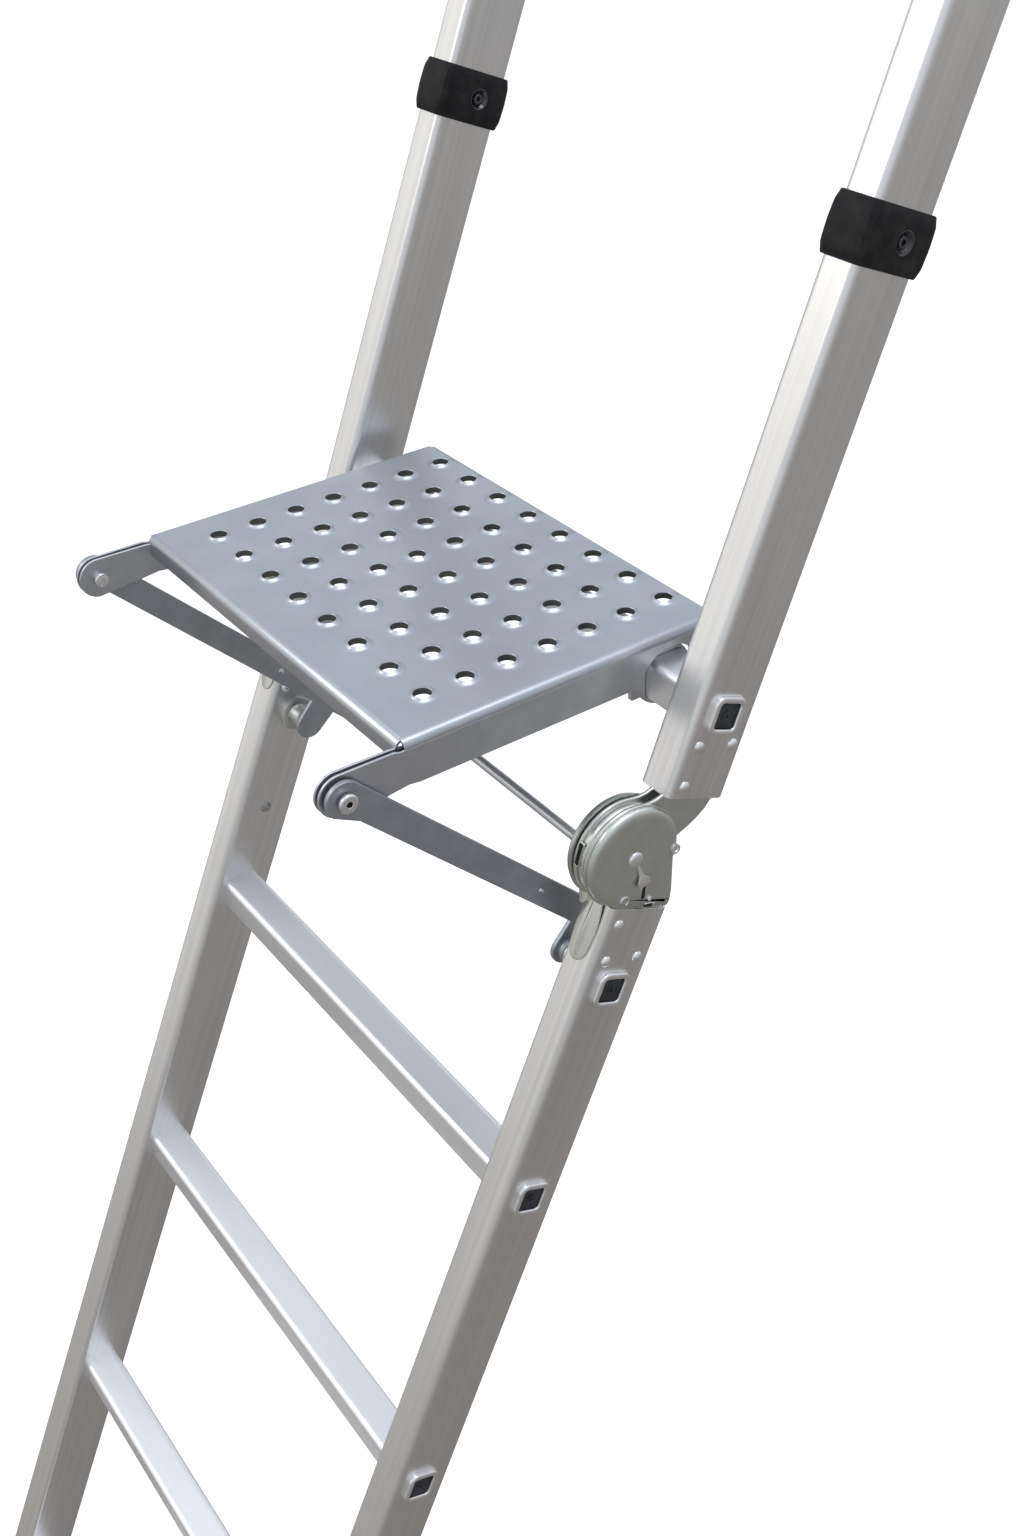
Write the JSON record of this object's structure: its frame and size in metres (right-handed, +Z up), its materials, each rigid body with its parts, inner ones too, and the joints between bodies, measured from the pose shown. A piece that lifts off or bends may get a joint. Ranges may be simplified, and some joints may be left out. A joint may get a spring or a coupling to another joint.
{
  "type": "attic ladder",
  "caption": "Leaning attic ladder with square rungs, a perforated fold-up platform on struts, locking fold hinges at mid height and collared handrail posts.",
  "frame": {"origin": "midway between the posts on the line of their back faces, level with the platform's top, where the ladder leans on the hatch edge", "axes": "+X to the ladder's right as the climber faces it, +Y away from the climber, +Z up"},
  "size_m": [0.4922, 1.2773, 2.7572],
  "materials": {
    "aluminium": "satin extruded aluminium with fine lengthwise lines",
    "rung_aluminium": "satin bluish-white aluminium",
    "deck_steel": "satin blue-grey coated sheet",
    "strut_steel": "satin dark grey coated sheet",
    "zinc": "zinc-plated, slightly greenish satin",
    "dark_steel": "dark plated steel",
    "black_plastic": "black moulded plastic",
    "nylon": "dark nylon"
  },
  "bodies": {
    "lower_section": {"foot_left": "black_plastic", "foot_right": "black_plastic", "hinge_inner_shell_left": "zinc", "hinge_inner_shell_right": "zinc", "hinge_outer_shell_left": "zinc", "hinge_outer_shell_right": "zinc", "hinge_pin_left": "zinc", "hinge_pin_right": "zinc", "lower_rivet_left_1": "zinc", "lower_rivet_left_2": "zinc", "lower_rivet_left_3": "zinc", "lower_rivet_right_1": "zinc", "lower_rivet_right_2": "zinc", "lower_rivet_right_3": "zinc", "lower_rung_1": "rung_aluminium", "lower_rung_2": "rung_aluminium", "lower_rung_3": "rung_aluminium", "lower_rung_4": "rung_aluminium", "lower_rung_5": "rung_aluminium", "lower_rung_6": "rung_aluminium", "lower_stile_left": "aluminium", "lower_stile_right": "aluminium", "strut_anchor_left": "rung_aluminium", "strut_anchor_right": "rung_aluminium"},
    "upper_section": {"collar_screw_left": "dark_steel", "collar_screw_right": "dark_steel", "hinge_wheel_plate_left": "zinc", "hinge_wheel_plate_right": "zinc", "platform_rung": "rung_aluminium", "post_cap_left": "black_plastic", "post_cap_right": "black_plastic", "post_collar_left": "black_plastic", "post_collar_right": "black_plastic", "post_extension_left": "aluminium", "post_extension_right": "aluminium", "post_left": "aluminium", "post_right": "aluminium", "post_spigot_left": "aluminium", "post_spigot_right": "aluminium", "rung_bush_left": "nylon", "rung_bush_right": "nylon", "upper_rivet_left_1": "zinc", "upper_rivet_left_2": "zinc", "upper_rivet_left_3": "zinc", "upper_rivet_right_1": "zinc", "upper_rivet_right_2": "zinc", "upper_rivet_right_3": "zinc"},
    "platform": {"ear_bolt_left": "zinc", "ear_bolt_right": "zinc", "ear_plate_left": "strut_steel", "ear_plate_right": "strut_steel", "platform_deck": "deck_steel", "platform_hook_left": "deck_steel", "platform_hook_right": "deck_steel"},
    "strut_left": {"strut_left": "strut_steel"},
    "strut_right": {"strut_right": "strut_steel"},
    "release": {"release_lever_left": "zinc", "release_lever_right": "zinc", "release_rod": "zinc"}
  },
  "joints": [
    {"name": "ladder_fold", "type": "hinge", "parent": "lower_section", "child": "upper_section", "pos_m": [0, -0.12173, -0.1182], "axis": [1, 0, 0], "range_deg": [0, 172]},
    {"name": "platform_pivot", "type": "hinge", "parent": "upper_section", "child": "platform", "pos_m": [0, -0.04194, -0.03535], "axis": [1, 0, 0], "range_deg": [-97.79, 2]},
    {"name": "strut_left_pivot", "type": "hinge", "parent": "platform", "child": "strut_left", "pos_m": [0, -0.3046, -0.0195], "axis": [1, 0, 0], "range_deg": [-2, 31.05]},
    {"name": "strut_right_pivot", "type": "hinge", "parent": "platform", "child": "strut_right", "pos_m": [0, -0.3046, -0.0195], "axis": [1, 0, 0], "range_deg": [-2, 31.05]},
    {"name": "release_levers", "type": "hinge", "parent": "lower_section", "child": "release", "pos_m": [0, -0.14361, -0.11102], "axis": [-1, 0, 0], "range_deg": [0, 5], "stiffness_Nm_per_rad": 1.2, "springref_deg": -5.73}
  ],
  "couplings": [
    {"joint": "platform_pivot", "follows": "ladder_fold", "ratio": -0.56271},
    {"joint": "strut_left_pivot", "follows": "ladder_fold", "ratio": 0.17472},
    {"joint": "strut_right_pivot", "follows": "ladder_fold", "ratio": 0.17472}
  ]
}
